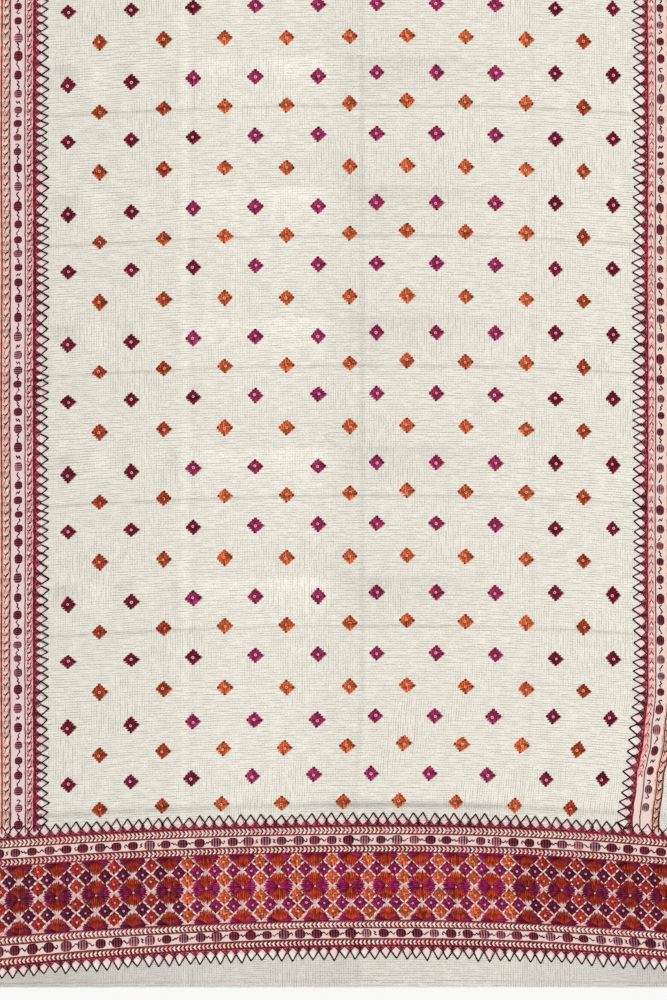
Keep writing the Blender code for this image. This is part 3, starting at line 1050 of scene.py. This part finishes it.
def sewFan(bundle, place, u, across, angles, wide, tall, share, draw):
    endWide = abs(angles[1] - angles[0]) * wide * fan["flare"]
    for angle in angles:
        name = "orange" if abs(math.sin(angle)) > fan["orangeAbove"] else "magenta"
        colour = blendDye(flower[name], flower[name + "Outer"], share) * draw.uniform(*fan["tones"])
        reach = draw.uniform(0.88, 1.02)
        end = place(u + wide * reach * math.cos(angle), across + tall * reach * math.sin(angle))
        rise = flower["rise"] * fan["rise"]
        add(bundle, "ray", place(u, across), end, fan["wide"], colour, endWide, rise)


fourWays = table(
    "toward dye",
    (((0, 1), (1, 0)), "orange"), (((0, -1), (1, 0)), "orange"), (((1, 0), (0, 1)), "magenta"),
    (((-1, 0), (0, 1)), "magenta"),
)


def sewFlower(bundle, place, u, draw):
    share = outerShare(u, flower["outer"]) + draw.uniform(-0.25, 0.25)
    angles = np.linspace(0, 2 * math.pi, flower["rays"], endpoint=False)
    middle, half = flower["middle"], flower["petalHalf"]
    sewFan(bundle, place, u, middle, angles, flower["wide"] * 0.95, flower["tall"] * 0.95, share, draw)
    for way in fourWays:
        long = flower["tall"] if way["dye"] == "orange" else flower["wide"]
        sewPetal(bundle, place, u, middle, way, share, long, half, 0.95, draw)


# Half a flower grows from each edge of the band: one orange petal and two low magenta ones
def sewHalfFlower(bundle, place, u, base, up, draw):
    share = outerShare(u, flower["outer"]) + draw.uniform(-0.25, 0.25)
    angles = np.linspace(0.05, math.pi - 0.05, flower["edgeRays"]) * up
    sewFan(bundle, place, u, base, angles, flower["edgeWide"] * 0.9, flower["edgeTall"] * 0.8, share, draw)
    way = {"toward": ((0, up), (1, 0)), "dye": "orange"}
    sewPetal(bundle, place, u, base, way, share, flower["edgeTall"], flower["petalHalf"] * 0.86, 0.5, draw)
    for side in (1, -1):
        for j in range(flower["edgeStitches"]):
            high = (j + 0.5) / flower["edgeStitches"]
            at = base + up * high * flower["edgeClimb"]
            outer = flower["edgeWide"] * (1 - flower["taper"] * high**1.2) * draw.uniform(0.90, 1.08)
            colour = blendDye(flower["magenta"], flower["magentaOuter"], share + 0.3) * 0.85
            shade = flossShade(colour, draw)
            start = place(u + side * (flower["edgeInner"] + flower["edgeSpread"] * high), at)
            end = place(u + side * outer, at + up * flower["edgeLift"])
            add(bundle, "ray", start, end, flower["edgeThick"], shade, rise=flower["rise"] * 0.9)


# Pale stitches between two corners of a diamond, each a little off the line
def sewLattice(bundle, place, u, across, draw):
    wide, tall = diamond["wide"] * lattice["out"], diamond["tall"] * lattice["out"]
    corners = [(wide, 0), (0, tall), (-wide, 0), (0, -tall)]
    for a, b in zip(corners, corners[1:] + corners[:1]):
        for part in range(2):
            spots = []
            for t in (part / 2 + 0.05, part / 2 + 0.48):
                jog = draw.uniform(-lattice["jog"], lattice["jog"])
                along = u + a[0] + (b[0] - a[0]) * t + jog
                spots.append(place(along, across + a[1] + (b[1] - a[1]) * t - jog))
            pale = dye(lattice["colour"]) * draw.uniform(0.86, 1.04)
            add(bundle, "stitch", *spots, lattice["wide"], pale, rise=lattice["rise"])


def sewDiamond(bundle, place, u, across, name, draw):
    share = outerShare(u, flower["outer"]) + draw.uniform(-0.2, 0.2)
    colour = blendDye(diamond[name], diamond[name + "Outer"], share)
    size = draw.uniform(0.94, 1.04)
    wide, tall = diamond["wide"] * size, diamond["tall"] * size
    tip = dye(diamond["tip"]) if draw.uniform() < 0.5 else colour * 0.7
    sewLozenge(bundle, place, u, across, wide, tall, diamond, colour, tip, draw)
    sewLattice(bundle, place, u, across, draw)


def sewFlowerBand(end, place, draw):
    flowers, diamonds, spots = newBundle(stripWall), newBundle(stripWall), []
    low, high = stripPieces["flower_band"]["fromHem"]
    for i in range(-flower["eachSide"], flower["eachSide"] + 1):
        u = flowerPlace(i)
        sewFlower(flowers, place, u, draw)
        sewHalfFlower(flowers, place, u, low + 0.0008, 1, draw)
        sewHalfFlower(flowers, place, u, high - 0.0008, -1, draw)
        spots.append(place(min(u, clipHalf - 0.004), flower["middle"]))
    for i in range(-flower["eachSide"] - 1, flower["eachSide"] + 1):
        for spot in diamondPlaces:
            u = flowerPlace(i + spot["share"])
            across = flower["middle"] + spot["across"]
            if abs(u) + diamond["wide"] <= bandHalf:
                sewDiamond(diamonds, place, u, across, spot["dye"], draw)
                spots.append(place(u, across))
    sewBundle(end + "_flowers", flowers, satinFinish)
    sewBundle(end + "_diamonds", diamonds, satinFinish)
    lift = stripWall + sequin["bandLift"]
    sewSequins(end + "_band_sequins", spots, sequin["bandRadius"], lift, sequin["bandGlint"], 33)


stem = {"pitch": 0.0090, "overlap": 1.17, "rise": 0.0008, "swayPitch": 0.021}


# A line of overlapping slanted stitches along a band
def sewLine(bundle, place, low, high, across, wide, code, draw, sway=0.0):
    count = max(1, round((high - low) / stem["pitch"]))
    step = (high - low) / count
    drift = drifting(draw, low, high, 0.035)
    for i in range(count):
        a = low + step * i
        b = min(high, a + step * stem["overlap"])
        shade = dye(code) * (0.72 + 0.5 * drift(a)) * draw.uniform(0.85, 1.15)
        ends = []
        for t in (a, b):
            off = sway * math.sin(2 * math.pi * t / stem["swayPitch"]) + draw.uniform(-0.15, 0.15) * wide
            ends.append(place(t, across + off))
        add(bundle, "run", *ends, wide, shade, rise=stem["rise"])


chevron = {
    "pitch": 0.0059,
    "reach": 0.0021,
    "pale": ("#fbd3b8", "#fdb8b2", "#ffebe4"),
    "paleWide": 0.0034,
    "dark": ("#4a0707", "#861d1b"),
    "darkWide": 0.0024,
    "rail": "#a0343a",
    "railWide": 0.0012,
}
chevronBands = table(
    "low high points heavy",
    (0.2150, 0.2252, 1, 1.00), (0.1896, 0.1984, 1, 1.10), (0.0838, 0.0930, -1, 0.90),
    (0.0594, 0.0676, -1, 1.15),
)


# Pale floss in slanting pairs with a heavy dark stroke between, apex to one side
def sewEndChevrons(bundle, place, draw):
    for band in chevronBands:
        middle = (band["low"] + band["high"]) / 2
        half = (band["high"] - band["low"]) / 2
        drift = drifting(draw, -bandHalf, bandHalf, 0.05)
        count = int(bandHalf / chevron["pitch"])
        for i in range(-count, count):
            u = (i + 0.5) * chevron["pitch"]
            base = chevron["pale"][0] if drift(u) > 0.5 else chevron["pale"][1]
            pale = blendDye(base, chevron["pale"][2], draw.uniform(0, 0.9))
            dark = blendDye(*chevron["dark"], draw.uniform(0, 0.9) ** 1.5)
            strokes = ((0, chevron["paleWide"], pale, 0.0006), (0.5, chevron["darkWide"], dark, 0.0010))
            for side in (1, -1):
                for offset, wide, colour, rise in strokes:
                    heavy = band["heavy"] * draw.uniform(0.75, 1.2) if offset else 1
                    at = u + offset * chevron["pitch"] + draw.uniform(-0.0004, 0.0004)
                    reach = band["points"] * chevron["reach"] * draw.uniform(0.75, 1.25)
                    a = (at - reach, middle + side * half * 0.84)
                    b = (at + reach, middle + draw.uniform(-0.16, 0.16) * half)
                    add(bundle, "stitch", place(*a), place(*b), wide * heavy, colour, rise=rise)
        for side in (1, -1):
            rail = middle + side * half * 0.92
            sewLine(bundle, place, -bandHalf, bandHalf, rail, chevron["railWide"], chevron["rail"], draw)


oval = {
    "bars": 4,
    "crimsonShare": 0.3,
    "dark": "#1c0408",
    "crimson": "#48040f",
    "fill": "#7c2a3c",
    "pale": "#d898a4",
    "ink": "#14050a",
    "sprigHalf": 0.0040,
}
# Small hooks, curls and waves between two ovals, drawn in a unit square
sprigs = [
    [(-1.0, 0.3), (-0.5, -0.5), (0.0, 0.1), (0.5, 0.6), (1.0, 0.0)],
    [(-1.0, -0.2), (-0.3, 0.6), (0.1, -0.1), (-0.2, -0.6)],
    [(-0.9, 0.5), (-0.2, 0.1), (0.2, -0.5), (0.9, -0.2)],
    [(-0.9, -0.5), (-0.3, 0.2), (0.1, -0.3), (0.5, 0.5), (0.9, 0.1)],
    [(-1.0, 0.0), (-0.4, 0.4), (0.2, -0.4), (0.6, 0.3), (1.0, -0.3)],
    [(-0.4, 0.7), (0.3, 0.2), (-0.3, -0.3), (0.5, -0.7)],
]


# Bars of dark floss over a lighter padding
def sewOval(bundle, place, along, across, long, wide, crossBars, draw):
    crimson = draw.uniform() < oval["crimsonShare"]
    fill = blendDye(oval["fill"], oval["pale"], draw.uniform(-0.5, 0.7))
    ends = (place(along - long, across), place(along + long, across))
    add(bundle, "bud", *ends, 1.9 * wide, fill, rise=0.0005)
    for i in range(oval["bars"]):
        off = -1 + (2 * i + 1) / oval["bars"]
        reach = math.sqrt(1 - off * off * 0.7) * draw.uniform(0.82, 0.96)
        shade = dye(oval["crimson" if crimson else "dark"]) * draw.uniform(0.7, 1.6)
        thick = (long if crossBars else wide) / oval["bars"] * draw.uniform(1.2, 1.5)
        ends = []
        for way in (-1, 1):
            step = (off, way * reach) if crossBars else (way * reach, off)
            ends.append(place(along + step[0] * long, across + step[1] * wide))
        add(bundle, "stitch", *ends, thick, shade, rise=0.0009)


def sewSprig(bundle, place, along, across, long, wide, draw):
    sprig = sprigs[draw.integers(0, len(sprigs))]
    flip = draw.choice([-1, 1], 2)
    ink = dye(oval["ink"]) * draw.uniform(0.8, 2.2)
    for a, b in zip(sprig, sprig[1:]):
        spots = [place(along + p * flip[0] * long, across + q * flip[1] * wide) for p, q in (a, b)]
        add(bundle, "run", *spots, draw.uniform(0.0014, 0.0022), ink, rise=0.0007)


# Ovals at an even pitch with a sprig after each, along a band that reaches half each way
def sewOvalRow(bundle, place, facts, half, draw):
    count = int((half - facts["long"]) / facts["pitch"])
    for i in range(-count, count + 1):
        along = i * facts["pitch"] + draw.uniform(-facts["stray"], facts["stray"])
        size = draw.uniform(0.9, 1.06)
        across = facts["across"]
        if facts["sideStray"]:
            across += draw.uniform(-facts["sideStray"], facts["sideStray"])
        long, wide = facts["long"] * size, facts["wide"] * size
        sewOval(bundle, place, along, across, long, wide, facts["crossBars"], draw)
        if i < count:
            spot = (along + facts["pitch"] / 2, across)
            sewSprig(bundle, place, *spot, facts["sprig"], oval["sprigHalf"], draw)


tooth = {"bars": 4, "bright": "#a82248", "dark": "#5c081c", "rise": 0.0008}
zigzag = {
    "wide": 0.0020,
    "footWide": 0.0013,
    "rise": 0.0010,
    "base": 0.0002,
    "ink": "#200508",
    "footInk": "#500a1c",
    "kites": ("#f6eae2", "#f4d0d2", "#f4e0dc"),
}


# Satin teeth in a row, a pale kite between every two, and a dark thread from tooth to tooth
# that crosses over at each apex
def sewTeeth(fill, ink, place, row, half, draw):
    base, apex, peak, pitch = row["base"], row["apex"], row["peak"], row["pitch"]
    count = int(2 * half / pitch)
    start = -(count - 1) * pitch / 2
    drift = drifting(draw, start, start + pitch * count, 0.06)
    for i in range(count):
        middle = start + pitch * i
        lean = draw.uniform(-0.1, 0.1) * pitch
        crest = middle + pitch / 2 + draw.uniform(-0.10, 0.10) * pitch
        top = peak + (peak - apex) * draw.uniform(-0.20, 0.12)
        kite = blendDye(zigzag["kites"][0], zigzag["kites"][1 + draw.integers(0, 2)], drift(middle) * 1.2)
        foot = place(middle + pitch / 2, base)
        add(fill, "kite", foot, place(crest, top), pitch * 0.90, kite, rise=0.0003, base=0.0)
        colour = blendDye(tooth["bright"], tooth["dark"], drift(middle + 0.03) + draw.uniform(-0.3, 0.3))
        thick = abs(apex - base) / tooth["bars"] * 1.1
        for k in range(tooth["bars"]):
            t = k / tooth["bars"]
            at = base + (apex - base) * (t + 0.5 / tooth["bars"])
            wing = pitch * 0.5 * (1 - t * 0.92)
            shade = colour * (draw.uniform(0.85, 1.25) if k % 2 == 0 else draw.uniform(0.45, 0.8))
            ends = (place(middle + lean * t - wing, at), place(middle + lean * t + wing, at))
            add(fill, "stitch", *ends, thick, shade, rise=tooth["rise"])
        tone = draw.uniform(0.7, 1.8)
        thread, footThread = dye(zigzag["ink"]) * tone, dye(zigzag["footInk"]) * tone
        for side in (-1, 1):
            knot = place(crest - side * pitch / 2 + lean, apex)
            tip = place(crest, top)
            add(ink, "run", knot, tip, zigzag["wide"], thread, rise=zigzag["rise"], base=zigzag["base"])
            foot = place(middle + pitch / 2 + side * pitch * 0.06, base)
            add(ink, "run", foot, knot, zigzag["footWide"], footThread, rise=zigzag["rise"])


def sewBraid(prefix, pieces):
    for name, bundle in pieces.items():
        finish = cottonFinish if name == "lines" else satinFinish
        sewBundle(prefix + "_" + name, bundle, finish)


endTeeth = table(
    "base apex peak pitch",
    (0.2262, 0.2338, 0.2440, 0.0147), (0.0586, 0.0508, 0.0385, 0.0147),
)
endLines = table(
    "across code wide",
    (0.2258, "#a02546", 0.0018), (0.2143, "#7c262c", 0.0013), (0.1990, "#7c262c", 0.0013),
    (0.1888, "#9a2048", 0.0015), (0.0937, "#9a2048", 0.0015), (0.0830, "#7c262c", 0.0013),
    (0.0684, "#7c262c", 0.0013), (0.0589, "#97163e", 0.0020),
)
endOvals = {
    "lines": (0.2066, 0.0760),
    "pitch": 0.0238,
    "long": 0.0074,
    "wide": 0.0068,
    "sprig": 0.0046,
    "stray": 0.0008,
    "sideStray": 0,
    "crossBars": True,
}

for index, (end, toward) in enumerate((("near", 1), ("far", -1))):
    place = endPlace(toward)
    sewFlowerBand(end, place, np.random.default_rng(31 + index))
    draw = np.random.default_rng(41 + index)
    pieces = {name: newBundle(stripWall) for name in ("chevrons", "ovals", "teeth", "lines")}
    sewEndChevrons(pieces["chevrons"], place, draw)
    for line in endLines:
        spot = (line["across"], line["wide"], line["code"])
        sewLine(pieces["lines"], place, -bandHalf, bandHalf, *spot, draw, 0.0002)
    for across in endOvals["lines"]:
        sewOvalRow(pieces["ovals"], place, {**endOvals, "across": across}, bandHalf, draw)
    for row in endTeeth:
        sewTeeth(pieces["teeth"], pieces["lines"], place, row, bandHalf, draw)
    sewBraid(end, pieces)

# The side braids, each from its inner tooth row out, as places across the cloth.
# A lane, line or mark that isn't whole stops short of the near border.
sideBraids = {
    "left": {
        "teeth": {"base": -0.4252, "apex": -0.4166, "peak": -0.4058, "pitch": 0.0130},
        "lanes": table(
            "across codes whole",
            (-0.4728, ("#f2a498", "#e08880"), True), (-0.4697, ("#fbb4a8", "#f8c8b8"), True),
            (-0.4678, ("#fad8c6", "#f2d0b6"), True), (-0.4658, ("#f0dac0", "#f8c8b8"), True),
            (-0.4638, ("#f8dac6", "#fabab0"), True), (-0.4618, ("#f8b0a4", "#f4c6b2"), True),
            (-0.4363, ("#fdd2ce", "#fbb4b4"), True), (-0.4341, ("#fadccc", "#fdc8c6"), True),
            (-0.4319, ("#fbc4c4", "#f8dcca"), True), (-0.4297, ("#f6a4aa", "#fcbebe"), True),
        ),
        "lines": table(
            "across code wide whole",
            (-0.4713, "#5c1210", 0.0016, True), (-0.4597, "#5c1210", 0.0016, True),
            (-0.4386, "#5c1012", 0.0017, True), (-0.4262, "#862033", 0.0040, True),
        ),
        "ovals": {"across": -0.4486, "pitch": 0.0228, "long": 0.0057, "wide": 0.0064, "crossBars": True},
        "marks": table(
            "across pitch half kind dark whole",
            (-0.4652, 0.0130, 0.0044, "check", "#2c0804", True),
            (-0.4332, 0.0121, 0.0034, "check", "#380509", True),
            (-0.4318, 0.0087, 0.0034, "fleck", "#8c1c38", True),
        ),
    },
    "right": {
        "teeth": {"base": 0.4313, "apex": 0.4236, "peak": 0.4122, "pitch": 0.0140},
        "lanes": table(
            "across codes whole",
            (0.4349, ("#f09aa0", "#f8bab8"), False), (0.4368, ("#fdd4ce", "#f9bcba"), False),
            (0.4387, ("#fbc4c0", "#fde0d4"), False), (0.4406, ("#f9bcb8", "#fdd2c8"), False),
            (0.4603, ("#f0cdb4", "#e9ad96"), True), (0.4648, ("#f0c8a8", "#f2ae98"), True),
            (0.4670, ("#f2b8a0", "#f0c8ac"), True), (0.4692, ("#ee9c8c", "#f0b49c"), True),
        ),
        "lines": table(
            "across code wide whole",
            (0.4327, "#8a1c30", 0.0032, True), (0.4440, "#6e1512", 0.0016, True),
            (0.4625, "#4c1014", 0.0018, True), (0.4713, "#4c1014", 0.0018, True),
        ),
        "ovals": {"across": 0.4511, "pitch": 0.0260, "long": 0.0064, "wide": 0.0056, "crossBars": False},
        "marks": table(
            "across pitch half kind dark whole",
            (0.4383, 0.0132, 0.0034, "peak", "#861c28", False),
            (0.4668, 0.0130, 0.0040, "check", "#2e0e0c", True),
        ),
    },
}
sideOvals = {"stray": 0.0007, "sideStray": 0.0005, "sprig": 0.0054}
shortStop = 0.3040
lane = {"pitch": 0.014, "length": 0.017, "wide": 0.0021, "rise": 0.0005}
# Strokes of a mark: where each starts and ends, as shares of its half width and pitch
markStrokes = {
    "check": table(
        "from to wide tone",
        ((0.84, 0.20), (-0.30, -0.20), 0.0027, 1.0), ((-0.80, 0.06), (-0.20, -0.17), 0.0015, 2.0),
        ((-0.25, -0.18), (-0.60, -0.66), 0.0014, 4.0), ((0.80, 0.18), (0.98, 0.70), 0.0012, 6.0),
    ),
    "peak": table(
        "from to wide tone",
        ((0.00, 0.20), (0.90, -0.20), 0.0017, 1.0), ((0.00, 0.20), (-0.90, -0.20), 0.0017, 1.1),
        ((0.00, 0.16), (0.30, 0.56), 0.0012, 1.6),
    ),
    "fleck": table(
        "from to wide tone",
        ((-0.90, 0.10), (-0.10, -0.20), 0.0014, 1.0), ((0.90, 0.22), (0.20, -0.10), 0.0014, 0.8),
    ),
}


def nearStop(facts):
    return -braidEnd if facts["whole"] else shortStop - halfLength


def sewLane(bundle, facts, draw):
    low = nearStop(facts)
    drift = drifting(draw, low, braidEnd, 0.04)
    count = round((braidEnd - low) / lane["pitch"])
    for i in range(count):
        a = low + (braidEnd - low) * i / count
        b = min(braidEnd, a + lane["length"])
        shade = blendDye(*facts["codes"], drift(a) + draw.uniform(-0.3, 0.3)) * draw.uniform(0.88, 1.08)
        sway = draw.uniform(-0.0002, 0.0002)
        ends = (sidePlace(a, facts["across"] - sway), sidePlace(b, facts["across"] + sway))
        add(bundle, "run", *ends, lane["wide"], shade, rise=lane["rise"])


def sewMarks(bundle, facts, draw):
    low = nearStop(facts)
    for i in range(int((braidEnd - low) / facts["pitch"])):
        at = low + (i + 0.5) * facts["pitch"] + draw.uniform(-0.06, 0.06) * facts["pitch"]
        dark = dye(facts["dark"]) * draw.uniform(0.7, 1.5)
        for stroke in markStrokes[facts["kind"]]:
            ends = []
            for part in (stroke["from"], stroke["to"]):
                along = at + (part[1] + draw.uniform(-0.03, 0.03)) * facts["pitch"]
                ends.append(sidePlace(min(along, braidEnd), facts["across"] + part[0] * facts["half"]))
            shade = np.minimum(dark * stroke["tone"], 0.5)
            add(bundle, "stitch", *ends, stroke["wide"], shade, rise=0.0010)


for index, (side, facts) in enumerate(sideBraids.items()):
    draw = np.random.default_rng(81 + index)
    pieces = {name: newBundle(stripWall) for name in ("teeth", "lanes", "ovals", "lines")}
    sewTeeth(pieces["teeth"], pieces["lines"], sidePlace, facts["teeth"], braidEnd + 0.006, draw)
    for row in facts["lanes"]:
        sewLane(pieces["lanes"], row, draw)
    for row in facts["marks"]:
        sewMarks(pieces["lanes"], row, draw)
    for line in facts["lines"]:
        spot = (line["across"], line["wide"], line["code"])
        sewLine(pieces["lines"], sidePlace, nearStop(line), braidEnd, *spot, draw, 0.0003)
    sewOvalRow(pieces["ovals"], sidePlace, {**facts["ovals"], **sideOvals}, braidEnd, draw)
    sewBraid(side, pieces)

# Small cream running stitches hold the turned hem at each end
hemStitch = {
    "pitch": 0.0090,
    "length": 0.0048,
    "wide": 0.0006,
    "in": 0.0075,
    "inset": 0.006,
    "colour": "#d8d1bf",
}
bundle = newBundle()
draw = np.random.default_rng(91)
for toward in (1, -1):
    place = endPlace(toward)
    for i in range(int(2 * (halfWidth - hemStitch["inset"]) / hemStitch["pitch"])):
        u = -halfWidth + hemStitch["inset"] + hemStitch["pitch"] * i
        across = hemStitch["in"] + draw.uniform(-0.0004, 0.0004)
        ends = (place(u, across), place(u + hemStitch["length"], across))
        add(bundle, "stitch", *ends, hemStitch["wide"], dye(hemStitch["colour"]), rise=0.0003)
sewBundle("hem_stitches", bundle, cottonFinish)

# Floor, light and camera
studio = {
    "floorHalf": 6.0,
    "floorDrop": 0.0003,
    "floorTone": 0.97,
    "sunStrength": 2.75,
    "sunSpread": 14,
    "sunFrom": (-0.66, -0.55, 0.56),
    "sky": 0.50,
}


def makeFloor():
    made, tree, shader = newMaterial("pale_floor")
    shader.inputs["Base Color"].default_value = (*(3 * [studio["floorTone"]]), 1)
    setShader(shader, 0.9, 0.1)
    bm = bmesh.new()
    bmesh.ops.create_grid(bm, x_segments=1, y_segments=1, size=studio["floorHalf"])
    bmesh.ops.translate(bm, verts=bm.verts[:], vec=(0, 0, -studio["floorDrop"]))
    mesh = bpy.data.meshes.new("floor")
    bm.to_mesh(mesh)
    bm.free()
    mesh.materials.append(made)
    floor = bpy.data.objects.new("floor", mesh)
    bpy.context.scene.collection.objects.link(floor)


def makeLight():
    sun = bpy.data.lights.new("key", "SUN")
    sun.energy = studio["sunStrength"]
    sun.angle = math.radians(studio["sunSpread"])
    key = bpy.data.objects.new("key", sun)
    toward = -Vector(studio["sunFrom"])
    key.rotation_euler = toward.to_track_quat("-Z", "Y").to_euler()
    bpy.context.scene.collection.objects.link(key)
    world = bpy.data.worlds.new("studio")
    world.use_nodes = True
    world.node_tree.nodes["Background"].inputs["Color"].default_value = (1.0, 1.0, 1.0, 1)
    world.node_tree.nodes["Background"].inputs["Strength"].default_value = studio["sky"]
    bpy.context.scene.world = world
    bpy.context.scene.view_settings.view_transform = "Standard"


# Straight down, over the part of the shawl that the picture frames
view = {"x": -0.0067, "fromHem": 0.6818, "tall": 1.400, "lens": 60, "sensor": 36}


def makeCamera():
    data = bpy.data.cameras.new("camera")
    data.lens = view["lens"]
    data.sensor_width = view["sensor"]
    data.clip_end = 50
    camera = bpy.data.objects.new("camera", data)
    up = view["tall"] * view["lens"] / view["sensor"]
    camera.location = (view["x"], view["fromHem"] - halfLength, up)
    bpy.context.scene.collection.objects.link(camera)
    bpy.context.scene.camera = camera


makeFloor()
makeLight()
makeCamera()
print("stage: floor, light and camera set")
